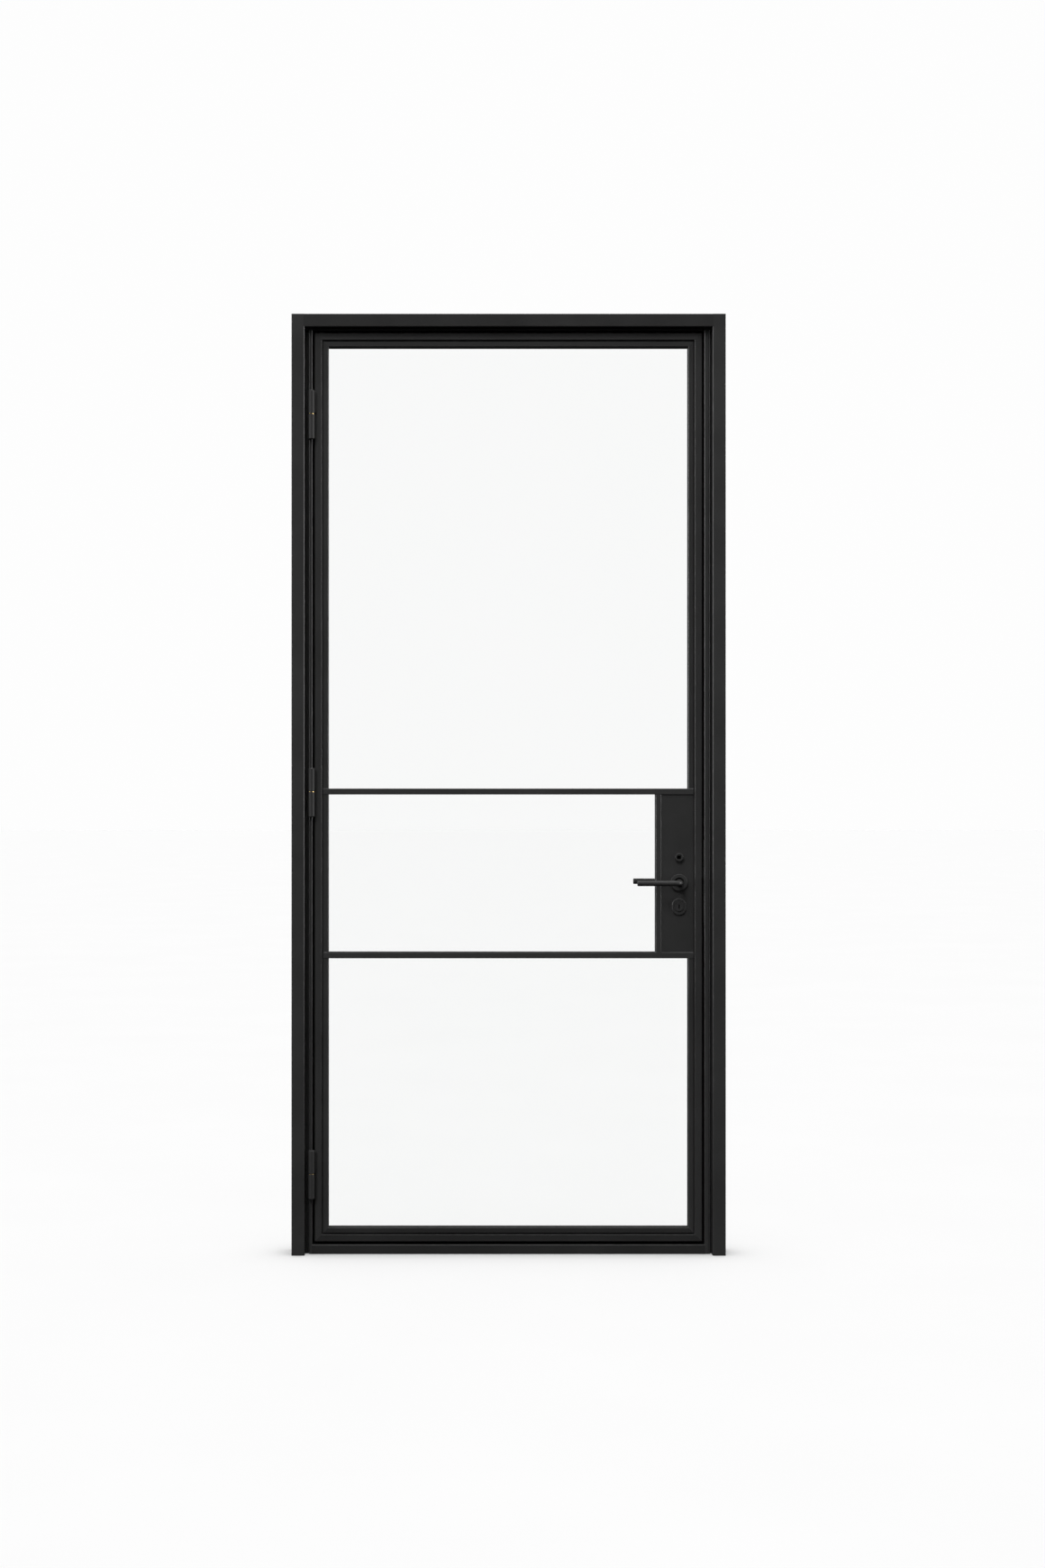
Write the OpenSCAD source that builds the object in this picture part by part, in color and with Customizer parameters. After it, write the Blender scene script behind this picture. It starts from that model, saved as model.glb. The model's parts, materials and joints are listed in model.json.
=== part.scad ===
// Glazed steel door leaf in its welded steel frame.
// Units are millimetres. X is to the right as seen from the pull side,
// Y points away from the viewer, Z is up. The origin is on the floor,
// at the middle of the frame's width and of its depth.

/* [Frame] */
// Overall width over the jambs
frame_w = 1153; // [900:1:1400]
// Overall height from the floor to the top of the head
frame_h = 2500; // [2000:1:2800]
// Depth of the frame from front face to back face
frame_d = 100; // [90:1:140]
// Width of the raised face of the jambs and head
face_w = 34.5; // [25:0.5:60]
// How far the raised face stands in front of the leaf
face_proud = 23; // [10:1:40]
// Width of the set-back step on each jamb
step_w = 19.8; // [19.5:0.1:30]
// Width of the shadow slot beside the hinge jamb's raised face
hinge_slot = 10.4; // [3:0.1:11]
// Width of the shadow slot beside the lock jamb's raised face
lock_slot = 5; // [3:0.1:6]
// Depth of the shadow slots
slot_d = 10.5; // [4:0.5:10.5]
// Place of the narrow groove on the hinge jamb's step
hinge_groove = 5.7; // [3:0.1:6.5]
// Place of the narrow groove on the lock jamb's step
lock_groove = 11; // [3:0.1:11.5]
// Width of the set-back step on the head
head_step = 6; // [3:0.5:30]
// How far the stop reaches in behind the leaf
stop_w = 17.2; // [12:0.1:25]
// Wall of the hollow frame sections
frame_wall = 2.5; // [2:0.1:4]
// Height of the threshold in front of its stop
sill_h = 25; // [15:1:40]
// Height of the fixing holes above the floor
fix_z = [200, 900, 1600, 2300]; // [100:1:2400]
// Radius of the fixing holes
fix_r = 5; // [3:0.5:7]

/* [Leaf] */
// Clear gap between leaf and frame
gap = 6.6; // [3:0.1:8]
// Thickness of the leaf
leaf_t = 40; // [35:1:60]
// Width of the leaf tube's face
tube_w = 18.5; // [15:0.5:40]
// Wall of the leaf tube
tube_wall = 2; // [1.5:0.1:3]
// Width of the shadow groove beside the tube
groove_w = 4; // [2:0.1:6]
// Width of the lip that holds the glass
lip_w = 13.3; // [8:0.1:20]
// How far the lip sits behind the leaf's face
lip_back = 2.5; // [0:0.1:5]

/* [Glazing] */
// Width of the horizontal glazing bars
bar_w = 16; // [12:0.5:30]
// Height of the upper glazing bar's centre
bar_z_top = 1231.9; // [1000:0.1:1500]
// Height of the lower glazing bar's centre
bar_z_low = 795.6; // [600:0.1:950]
// Thickness of the glass
glass_t = 8; // [6:0.5:10]
// Thickness of each glazing gasket
gasket_t = 3; // [2:0.5:4]

/* [Lock] */
// Distance from the leaf's edge to the lever's axis
backset = 61; // [50:1:70]
// Height of the lever's axis
lever_z = 989.5; // [900:0.5:1100]
// Height of the square service lock
service_z = 1057; // [1040:0.5:1080]
// Height of the key cylinder
key_z = 925; // [900:0.5:940]
// Left edge of the upright bar beside the lock plate
lock_bar_x = 393; // [350:0.5:420]
// Width of the upright bar beside the lock plate
lock_bar_w = 14.3; // [10:0.1:20]
// Length of the lever from its axis to its tip
lever_len = 115; // [90:1:140]
// Radius of the lever's round bar
lever_r = 7.5; // [6:0.25:10]
// Distance of the lever's bar from the leaf's face
lever_off = 52; // [40:1:60]
// Travel of the latch bolt
latch_throw = 12; // [8:1:14]

/* [Hinges] */
// Heights of the joint between the two halves of each hinge
hinge_z = [2236.4, 1231.4, 215.1]; // [150:0.1:2350]
// Radius of the hinge barrel
barrel_r = 9; // [7:0.25:12]
// Length of the upper barrel
barrel_up = 63; // [50:1:80]
// Length of the lower barrel
barrel_low = 67; // [50:1:80]
// Radius of the hinge pin
pin_r = 5; // [4:0.25:6]

/* [Hidden] */
$fn = 64;
e = 0.01;
hw = frame_w / 2;
yf = -frame_d / 2;               // front of the raised face
ys = yf + face_proud;            // step and leaf face
yb = ys + leaf_t;                // back of the leaf
yst = yb + 5;                    // front of the stop
ye = frame_d / 2;                // back of the frame
xi = hw - face_w;                // inner edge of the raised face
xs = xi - step_w;                // inner edge of the step
xp = xs - stop_w;                // inner edge of the stop
zh = frame_h - face_w;           // lower edge of the head's raised face
zs = zh - head_step;             // lower edge of the head's step
zp = zs - stop_w;                // lower edge of the head's stop
lx = xs - gap;                   // half width of the leaf
lz0 = sill_h + gap + 2.1;        // bottom of the leaf
lz1 = zs - gap + 0.1;            // top of the leaf
sill_stop = sill_h + 20;
uin = tube_w + groove_w + lip_w; // sight line from the leaf's edge
ug = tube_w + groove_w;          // edge of the glass from the leaf's edge
ylip = ys + lip_back;
ylb = ys + 15;                   // back of the lip
yg0 = ylb + gasket_t;
yg1 = yg0 + glass_t;
ybd = yg1 + gasket_t;            // front of the beads
bar_y = ys + 1;                  // front of the glazing bars
web = 4;                         // web between two panes
edge = 2.5;                      // glass edge clearance at a web
ax = lx - backset;               // lock axis
ym = (ys + yb) / 2;              // middle of the leaf
lock_web_x = lock_bar_x + lock_bar_w / 2;
plate_y = ys + 4;                // front of the front lock plate
plate_t = 2.5;
case_x0 = 425; case_x1 = lx - 2.5;
case_z0 = 893; case_z1 = 1083;
case_y0 = ym - 7.5; case_y1 = ym + 7.5;
hx = -524; hy = yf + 13.5;       // hinge axis
arm = latch_throw / (2 * sin(22.5));
dead_throw = 20; dead_arm = dead_throw / (2 * sin(45));
night_throw = 14; night_arm = night_throw / (2 * sin(45));
latch_z0 = lever_z + 13; latch_z1 = latch_z0 + 20;
dead_z0 = key_z + 11.5; dead_z1 = dead_z0 + 20;
night_z0 = service_z - 26; night_z1 = night_z0 + 16;

// ---------- helpers ----------
function unit(v) = v / norm(v);
function xy(p) = [p[0], p[1]];
function wrap(a) = a - 360 * floor((a + 180) / 360);
function corner(a, b, c, r, n = 3) = r <= 0 ? [b] :
  let (u = unit(a - b), v = unit(c - b), g = acos(u * v), p = b + u * r / tan(g / 2),
       q = b + v * r / tan(g / 2), o = b + unit(u + v) * r / sin(g / 2),
       a0 = atan2(p[1] - o[1], p[0] - o[0]), d = wrap(atan2(q[1] - o[1], q[0] - o[0]) - a0))
  [for (i = [0:n]) o + r * [cos(a0 + d * i / n), sin(a0 + d * i / n)]];
function rounded(pts) = let (n = len(pts)) [for (i = [0:n - 1])
  each corner(xy(pts[(i + n - 1) % n]), xy(pts[i]), xy(pts[(i + 1) % n]), pts[i][2])];

module box(a, b) { translate(a) cube(b - a); }
module along_x(x0, x1, r) { translate([x0, 0, 0]) rotate([0, 90, 0]) cylinder(h = x1 - x0, r = r); }
module along_y(y0, y1, r) { translate([0, y1, 0]) rotate([90, 0, 0]) cylinder(h = y1 - y0, r = r); }
// A section given as [z, y], drawn out along X about the middle
module run_x(len) { rotate([0, -90, 0]) linear_extrude(height = len, center = true) children(); }
// Slotless countersunk screw along -Z, its head's top at the origin
module screw(head_r, shank_r, len) {
  translate([0, 0, -1.6]) cylinder(h = 1.6, r1 = shank_r, r2 = head_r);
  translate([0, 0, -len]) cylinder(h = len - 1.6 + e, r = shank_r);
}

// ---------- frame ----------
// Jamb section with a shadow slot of width sw and a narrow groove at g from the step's inner edge
module jamb_outline(sw, g) {
  polygon(rounded([[hw, yf, 0.6], [xi, yf, 2.5], [xi, ys + slot_d, 0], [xi - sw, ys + slot_d, 0], [xi - sw, ys, 0.6],
    [xs + g + 2, ys, 0.6], [xs + g + 2, ys + 2, 0], [xs + g, ys + 2, 0], [xs + g, ys, 0.6], [xs, ys, 2],
    [xs, yst, 0], [xp, yst, 1.5], [xp, ye, 2], [hw, ye, 2]]));
}
module jamb_hollow(sw) {
  w = frame_wall;
  polygon([[hw - w, yf + w], [xi + w, yf + w], [xi + w, ys + slot_d + w], [xi - sw - w, ys + slot_d + w],
    [xi - sw - w, ys + 2 + w], [xs + w, ys + 2 + w], [xs + w, yst + w], [xp + w, yst + w],
    [xp + w, ye - w], [hw - w, ye - w]]);
}
module jamb(sw, g) {
  difference() {
    linear_extrude(height = frame_h) jamb_outline(sw, g);
    translate([0, 0, -1]) linear_extrude(height = frame_h - 2) jamb_hollow(sw);
    for (z = fix_z) translate([0, 34, z]) along_x(xp - 1, hw + 1, fix_r);
  }
}
module jamb_blank(sw, g) { translate([0, 0, -1]) linear_extrude(height = frame_h + 2) jamb_outline(sw, g); }
module jamb_blanks() {
  jamb_blank(lock_slot, lock_groove);
  mirror([1, 0, 0]) jamb_blank(hinge_slot, hinge_groove);
}
module hinge_jamb() { color("#202020") mirror([1, 0, 0]) jamb(hinge_slot, hinge_groove); }
module strike_holes(m, x0, x1) {
  box([x0, ym - 6.5 - m, latch_z0 - 2 - m], [x1, ym + 6.5 + m, latch_z1 + 2 + m]);
  box([x0, ym - 6.5 - m, dead_z0 - 1 - m], [x1, ym + 6.5 + m, dead_z1 + 1 + m]);
  box([x0, ym - 6.5 - m, night_z0 - 1 - m], [x1, ym + 6.5 + m, night_z1 + 1 + m]);
}
module strike_jamb() {
  color("#202020") difference() {
    jamb(lock_slot, lock_groove);
    strike_holes(0.5, xs - 1, xs + frame_wall + 1);
    for (z = [lever_z - 97, lever_z + 103]) translate([0, ym, z]) along_x(xs - 1, xs + frame_wall + 1, 2.1);
  }
}
module head_outline() {
  polygon(rounded([[frame_h, yf, 0.6], [zh, yf, 2.5], [zh, ys, 0], [zs, ys, 2], [zs, yst, 0], [zp, yst, 1.5],
    [zp, ye, 2], [frame_h, ye, 2]]));
}
module head_hollow() {
  w = frame_wall;
  polygon([[frame_h - w, yf + w], [zh + w, yf + w], [zh + w, ys + w], [zs + w, ys + w], [zs + w, yst + w],
    [zp + w, yst + w], [zp + w, ye - w], [frame_h - w, ye - w]]);
}
module frame_head() {
  color("#202020") difference() {
    run_x(2 * xi + 4.8) head_outline();
    run_x(2 * hw + 2) head_hollow();
    jamb_blanks();
  }
}
module sill_outline() {
  polygon(rounded([[0, ys, 0], [sill_h, ys, 2], [sill_h, yst, 0], [sill_stop, yst, 1.5], [sill_stop, ye, 2], [0, ye, 0]]));
}
module sill_hollow() {
  w = frame_wall;
  polygon([[w, ys + w], [sill_h - w, ys + w], [sill_h - w, yst + w], [sill_stop - w, yst + w],
    [sill_stop - w, ye - w], [w, ye - w]]);
}
module threshold() {
  color("#1d1d1d") difference() {
    run_x(2 * xs + 3.8) sill_outline();
    run_x(2 * hw + 2) sill_hollow();
    jamb_blanks();
  }
}
// Bulb seal as [across, y], its foot on the stop
module seal_section() {
  translate([-3.75, yst - 1.8]) square([7.5, 1.8]);
  translate([0, yst - 2.4]) circle(r = 2.3, $fn = 24);
}
module jamb_seals() {
  color("#111111") for (s = [0, 1]) mirror([s, 0, 0])
    translate([xp + 5.2, 0, sill_h + 8]) linear_extrude(height = zs - sill_h - 16) difference() {
      seal_section();
      translate([0, yst - 2.4]) circle(r = 1.3, $fn = 16);
    }
}
module head_seal() {
  color("#111111") translate([0, 0, zp + 5.2]) run_x(2 * xp + 2) difference() {
    seal_section();
    translate([0, yst - 2.4]) circle(r = 1.3, $fn = 16);
  }
}
module sill_seal() {
  color("#111111") translate([0, 0, sill_stop - 5.2]) run_x(2 * xp + 2) difference() {
    seal_section();
    translate([0, yst - 2.4]) circle(r = 1.3, $fn = 16);
  }
}
module fixing_sleeves() {
  color("#8f9296") for (s = [0, 1], z = fix_z) mirror([s, 0, 0]) translate([0, 34, z]) difference() {
    along_x(xp + frame_wall, hw - frame_wall, 8);
    along_x(xp, hw, fix_r);
  }
}
module strike_plate() {
  color("#262626") difference() {
    box([xs - 2, ym - 13, lever_z - 109.5], [xs, ym + 13, lever_z + 114.5]);
    strike_holes(0, xs - 3, xs + 1);
    for (z = [lever_z - 97, lever_z + 103]) translate([xs - 2, ym, z]) rotate([0, -90, 0]) screw(4.05, 2.1, 9);
  }
}
module strike_screws() {
  color("#2c2c2c") for (z = [lever_z - 97, lever_z + 103])
    translate([xs - 2, ym, z]) rotate([0, -90, 0]) difference() {
      screw(4, 2.05, 12);
      translate([0, 0, -1.2]) cylinder(h = 2, r = 1.4, $fn = 6);
    }
}

// ---------- hinges ----------
module barrel(len) {
  rotate_extrude() polygon(rounded([[0, 0, 0], [barrel_r, 0, 0.6], [barrel_r, len, 2.2], [0, len, 0]]));
}
module hinge_leaf_half(z) {
  color("#262626") difference() {
    union() {
      translate([hx, hy, z + 1.1]) barrel(barrel_up - 1.1);
      box([hx, hy + 5, z + 5], [hx + 13, hy + 9, z + barrel_up - 5]);
      box([hx + 10, hy + 9 - e, z + 5], [hx + 13, ys, z + barrel_up - 5]);
    }
    translate([hx, hy, z - 1]) cylinder(h = 50, r = pin_r + 0.05);
  }
}
module hinge_frame_half(z) {
  color("#262626") difference() {
    union() {
      translate([hx, hy, z - 0.8]) mirror([0, 0, 1]) barrel(barrel_low - 0.8);
      box([hx - 9, hy + 5, z - barrel_low + 5], [hx, ys, z - 5]);
    }
    translate([hx, hy, z - 46]) cylinder(h = 50, r = pin_r + 0.02);
  }
}
module top_hinge_leaf_half() { hinge_leaf_half(hinge_z[0]); }
module middle_hinge_leaf_half() { hinge_leaf_half(hinge_z[1]); }
module bottom_hinge_leaf_half() { hinge_leaf_half(hinge_z[2]); }
module top_hinge_frame_half() { hinge_frame_half(hinge_z[0]); }
module middle_hinge_frame_half() { hinge_frame_half(hinge_z[1]); }
module bottom_hinge_frame_half() { hinge_frame_half(hinge_z[2]); }
module hinge_pins() {
  color("#a9adb1") for (z = hinge_z) translate([hx, hy, z - 46])
    rotate_extrude() polygon([[0, 0], [pin_r, 0], [pin_r, 89], [pin_r - 1.5, 91], [0, 91]]);
}
module hinge_washers() {
  color("#b08d3c") for (z = hinge_z) translate([hx, hy, z - 0.8]) difference() {
    cylinder(h = 1.6, r = barrel_r - 1.8);
    translate([0, 0, -1]) cylinder(h = 4, r = pin_r + 0.1);
  }
}

// ---------- leaf ----------
// Section as [distance in from the leaf's edge, y]
module leaf_outline() {
  polygon(rounded([[0, ys, 1.5], [tube_w, ys, 1.2], [tube_w, ys + 8, 0], [ug, ys + 8, 0], [ug, ylip, 0.8],
    [uin, ylip, 1.2], [uin, ylb, 0.5], [tube_w, ylb, 0], [tube_w, yb, 1.2], [0, yb, 1.5]]));
}
module leaf_section() {
  w = tube_wall;
  difference() {
    leaf_outline();
    translate([w, ys + w]) square([tube_w - 2 * w, leaf_t - 2 * w]);
    translate([ug + w, ylip + w]) square([lip_w - 2 * w, ylb - ylip - 2 * w]);
  }
}
module stile_mitre() {
  rotate([90, 0, 0]) linear_extrude(height = 200, center = true)
    polygon([[lx, lz0], [lx, lz1], [lx - 60, lz1 - 60], [lx - 60, lz0 + 60]]);
}
module rail_mitre(z0, s) {
  rotate([90, 0, 0]) linear_extrude(height = 200, center = true)
    polygon([[-lx, z0], [lx, z0], [lx - 60, z0 + s * 60], [-lx + 60, z0 + s * 60]]);
}
module stile_blank() {
  intersection() {
    translate([lx, 0, lz0]) linear_extrude(height = lz1 - lz0) mirror([1, 0]) leaf_section();
    stile_mitre();
  }
}
module lip_notch(z0, z1) { box([lx - uin - 2, ys - 1, z0], [lx - ug, ylb + e, z1]); }
// Heights of the screws in the upright beads of the upper, middle and lower pane
side_screws = [[1300, 1660, 2020, 2370], [870, 1160], [110, 420, 740]];
// Places across the door of the screws in the level beads
level_screws = [-400, 0, 330];
module stile_screw_holes(list) {
  for (z = list) translate([0, ybd + 6, z]) along_x(lx - tube_w - 1, lx - tube_w + tube_wall + 1, 1.8);
}
module hinge_stile() {
  color("#232323") mirror([1, 0, 0]) difference() {
    stile_blank();
    for (z = [bar_z_top, bar_z_low]) lip_notch(z - bar_w / 2, z + bar_w / 2);
    for (k = side_screws) stile_screw_holes(k);
  }
}
module lock_stile() {
  color("#232323") difference() {
    union() {
      stile_blank();
      for (z = [lever_z - 116, lever_z + 104]) box([lx - 6.5, ys + 1.5, z], [lx - 2.5, yb - 1.5, z + 12]);
    }
    lip_notch(bar_z_low - bar_w / 2, bar_z_top + bar_w / 2);
    stile_screw_holes(side_screws[0]);
    stile_screw_holes(side_screws[2]);
    box([lx - tube_w - 5, case_y0 - 0.5, case_z0 - 0.5], [lx + 1, case_y1 + 0.5, case_z1 + 0.5]);
    box([lx - 2.5, ym - 11.2, lever_z - 120.2], [lx + 1, ym + 11.2, lever_z + 120.2]);
    for (z = [lever_z - 110, lever_z + 110]) translate([0, ym, z]) along_x(lx - 12, lx - 2, 2.5);
  }
}
module rail_blank(z0, s) {
  intersection() {
    translate([0, 0, z0]) mirror([0, 0, s < 0 ? 1 : 0]) run_x(2 * lx) leaf_section();
    rail_mitre(z0, s);
  }
}
module top_rail() {
  color("#232323") difference() {
    rail_blank(lz1, -1);
    for (x = level_screws) translate([x, ybd + 6, lz1 - tube_w - 1]) cylinder(h = tube_wall + 2, r = 1.8);
  }
}
module bottom_rail() {
  color("#232323") difference() {
    rail_blank(lz0, 1);
    for (x = level_screws) translate([x, ybd + 6, lz0 + tube_w - tube_wall - 1]) cylinder(h = tube_wall + 2, r = 1.8);
  }
}
// Level bar with a hollow head in front and a web between the panes
module level_bar(z, x_right) {
  h = bar_w / 2;
  difference() {
    union() {
      translate([(x_right - lx + ug) / 2, 0, z]) run_x(x_right + lx - ug)
        polygon(rounded([[-h, bar_y, 1], [h, bar_y, 1], [h, ylb, 0.4], [-h, ylb, 0.4]]));
      box([-lx + tube_w, ylb - e, z - web / 2], [lx - tube_w, yb, z + web / 2]);
    }
    box([-lx + ug + 3, bar_y + 2, z - h + 2], [lx - ug - 3, ylb - 2, z + h - 2]);
  }
}
module upper_glazing_bar() {
  color("#232323") difference() {
    level_bar(bar_z_top, lx - ug);
    for (x = level_screws) translate([x, ybd + 6, bar_z_top]) cylinder(h = 3, r = 1.8);
    for (x = level_screws) translate([x + 25, ybd + 6, bar_z_top - 3]) cylinder(h = 3, r = 1.8);
  }
}
module lower_glazing_bar() {
  color("#232323") difference() {
    union() {
      level_bar(bar_z_low, lx - ug);
      box([lx - ug - e, ys + 4, bar_z_low - 3], [lx - tube_w, ys + 8, bar_z_low + 3]);
    }
    for (x = level_screws) translate([x, ybd + 6, bar_z_low - 3]) cylinder(h = 3, r = 1.8);
    for (x = level_screws) translate([x + 25, ybd + 6, bar_z_low]) cylinder(h = 3, r = 1.8);
  }
}
module lock_bar() {
  z0 = bar_z_low + bar_w / 2; z1 = bar_z_top - bar_w / 2; h = lock_bar_w / 2;
  color("#232323") difference() {
    union() {
      translate([lock_web_x, 0, z0]) linear_extrude(height = z1 - z0)
        polygon(rounded([[-h, bar_y, 1], [h, bar_y, 1], [h, ylb, 0.4], [-h, ylb, 0.4]]));
      box([lock_web_x - web / 2, ylb - e, bar_z_low + web / 2], [lock_web_x + web / 2, yb, bar_z_top - web / 2]);
    }
    box([lock_web_x - h + 2, bar_y + 2, z0 + 3], [lock_web_x + h - 2, ylb - 2, z1 - 3]);
    for (z = side_screws[1]) translate([0, ybd + 6, z]) along_x(lock_web_x - 3, lock_web_x, 1.8);
  }
}
module lock_plate_holes(y0, y1) {
  translate([ax, 0, lever_z]) along_y(y0, y1, 12.5);
  translate([ax, 0, service_z]) along_y(y0, y1, 9.3);
  translate([ax, 0, key_z]) along_y(y0, y1, 11.8);
  for (s = [-1, 1]) translate([ax, 0, key_z + s * 15.8]) along_y(y0, y1, 1.6);
}
module lock_front_plate() {
  x0 = lock_bar_x + lock_bar_w; x1 = lx - ug; z0 = bar_z_low + bar_w / 2; z1 = bar_z_top - bar_w / 2;
  color("#232323") difference() {
    box([x0, plate_y, z0], [x1, ylb, z1]);
    box([x0 + 2, plate_y + plate_t, z0 + 2], [x1 - 2, ylb + 1, z1 - 2]);
    box([x1 - 3, case_y0 - 0.5, case_z0 - 0.5], [x1 + 1, ylb + 1, case_z1 + 0.5]);
    lock_plate_holes(plate_y - 1, plate_y + plate_t + 1);
  }
}
module lock_back_plate() {
  x0 = lock_web_x + web / 2 + 0.4; x1 = lx - tube_w - 0.4;
  z0 = bar_z_low + web / 2 + 0.4; z1 = bar_z_top - web / 2 - 0.4;
  color("#232323") difference() {
    box([x0, case_y1 + 2, z0], [x1, yb, z1]);
    box([x0 + 2, case_y1, z0 + 2], [x1 - 2, yb - plate_t, z1 - 2]);
    lock_plate_holes(yb - plate_t - 1, yb + 1);
  }
}

// ---------- glazing ----------
// Each pane as [x0, x1, z0, z1]: glass edge, then sight line
g_top = [-lx + ug, lx - ug, bar_z_top + web / 2 + edge, lz1 - ug];
g_mid = [-lx + ug, lock_web_x - web / 2 - edge, bar_z_low + web / 2 + edge, bar_z_top - web / 2 - edge];
g_low = [-lx + ug, lx - ug, lz0 + ug, bar_z_low - web / 2 - edge];
s_top = [-lx + uin, lx - uin, bar_z_top + bar_w / 2, lz1 - uin];
s_mid = [-lx + uin, lock_bar_x, bar_z_low + bar_w / 2, bar_z_top - bar_w / 2];
s_low = [-lx + uin, lx - uin, lz0 + uin, bar_z_low - bar_w / 2];
module slab(p, y0, y1, m = 0) { box([p[0] - m, y0, p[2] - m], [p[1] + m, y1, p[3] + m]); }
module upper_glass() { color("#cfd8d6", 0.35) slab(g_top, yg0, yg1); }
module middle_glass() { color("#cfd8d6", 0.35) slab(g_mid, yg0, yg1); }
module lower_glass() { color("#cfd8d6", 0.35) slab(g_low, yg0, yg1); }
module gasket(g, s, y0, y1) { difference() { slab(g, y0, y1); slab(s, y0 - 1, y1 + 1, 1); } }
module front_gaskets() {
  color("#151515") { gasket(g_top, s_top, ylb, yg0); gasket(g_mid, s_mid, ylb, yg0); gasket(g_low, s_low, ylb, yg0); }
}
module back_gaskets() {
  color("#151515") { gasket(g_top, s_top, yg1, ybd); gasket(g_mid, s_mid, yg1, ybd); gasket(g_low, s_low, yg1, ybd); }
}
module setting_blocks() {
  color("#3a3f44") for (x = [-300, 260]) {
    box([x - 40, yg0 + 0.5, bar_z_top + web / 2], [x + 40, yg1 - 0.5, g_top[2]]);
    box([x - 40, yg0 + 0.5, bar_z_low + web / 2], [x + 40, yg1 - 0.5, g_mid[2]]);
    box([x - 40, yg0 + 0.5, lz0 + tube_w], [x + 40, yg1 - 0.5, g_low[2]]);
  }
}
// Hollow bead tube between two corners
module bead(a, b) {
  d = b - a; w = 1.5; k = [d[0] > 100 ? -1 : w, w, d[2] > 100 ? -1 : w];
  difference() { box(a, b); if (min(d[0], d[2]) > 8) box(a + k, b - k); }
}
// Screws through an upright bead: s is -1 on the left of a pane, 1 on its right
module side_bead_screws(x, s, list, len, grow = 0) {
  for (z = list) translate([x, ybd + 6, z]) rotate([0, s > 0 ? -90 : 90, 0]) screw(3.2 + grow, 1.6 + grow, len);
}
// Screws through a level bead: s is -1 at the bottom of a pane, 1 at its top
module level_bead_screws(z, s, dx, len, grow = 0) {
  for (x = level_screws) translate([x + dx, ybd + 6, z]) rotate([s > 0 ? 180 : 0, 0, 0]) screw(3.2 + grow, 1.6 + grow, len);
}
bead_w = uin - tube_w;
module pane_bead_screws(k, g = 0) {
  if (k == 0) {
    for (s = [-1, 1]) side_bead_screws(s * s_top[1], s, side_screws[0], bead_w + 3.2, g);
    level_bead_screws(s_top[3], 1, 0, bead_w + 3.2, g);
    level_bead_screws(s_top[2], -1, 0, 7.4, g);
  } else if (k == 1) {
    side_bead_screws(s_mid[0], -1, side_screws[1], bead_w + 3.2, g);
    side_bead_screws(s_mid[1], 1, side_screws[1], 6.4, g);
    level_bead_screws(s_mid[3], 1, 25, 7.4, g);
    level_bead_screws(s_mid[2], -1, 25, 7.4, g);
  } else {
    for (s = [-1, 1]) side_bead_screws(s * s_low[1], s, side_screws[2], bead_w + 3.2, g);
    level_bead_screws(s_low[2], -1, 0, bead_w + 3.2, g);
    level_bead_screws(s_low[3], 1, 0, 7.4, g);
  }
}
module upper_beads() {
  z0 = bar_z_top + web / 2; z1 = lz1 - tube_w;
  color("#232323") difference() {
    union() {
      bead([-lx + tube_w, ybd, z0], [s_top[0], yb, z1]);
      bead([s_top[1], ybd, z0], [lx - tube_w, yb, z1]);
      bead([s_top[0] + 0.2, ybd, s_top[3]], [s_top[1] - 0.2, yb, z1]);
      bead([s_top[0] + 0.2, ybd, z0], [s_top[1] - 0.2, yb, s_top[2]]);
    }
    pane_bead_screws(0, 0.1);
  }
}
module middle_beads() {
  z0 = bar_z_low + web / 2; z1 = bar_z_top - web / 2;
  color("#232323") difference() {
    union() {
      bead([-lx + tube_w, ybd, z0], [s_mid[0], yb, z1]);
      bead([s_mid[1], ybd, z0], [lock_web_x - web / 2, yb, z1]);
      bead([s_mid[0] + 0.2, ybd, s_mid[3]], [s_mid[1] - 0.2, yb, z1]);
      bead([s_mid[0] + 0.2, ybd, z0], [s_mid[1] - 0.2, yb, s_mid[2]]);
    }
    pane_bead_screws(1, 0.1);
  }
}
module lower_beads() {
  z0 = lz0 + tube_w; z1 = bar_z_low - web / 2;
  color("#232323") difference() {
    union() {
      bead([-lx + tube_w, ybd, z0], [s_low[0], yb, z1]);
      bead([s_low[1], ybd, z0], [lx - tube_w, yb, z1]);
      bead([s_low[0] + 0.2, ybd, z0], [s_low[1] - 0.2, yb, s_low[2]]);
      bead([s_low[0] + 0.2, ybd, s_low[3]], [s_low[1] - 0.2, yb, z1]);
    }
    pane_bead_screws(2, 0.1);
  }
}
module bead_screws() { color("#2c2c2c") for (k = [0:2]) pane_bead_screws(k); }

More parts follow.
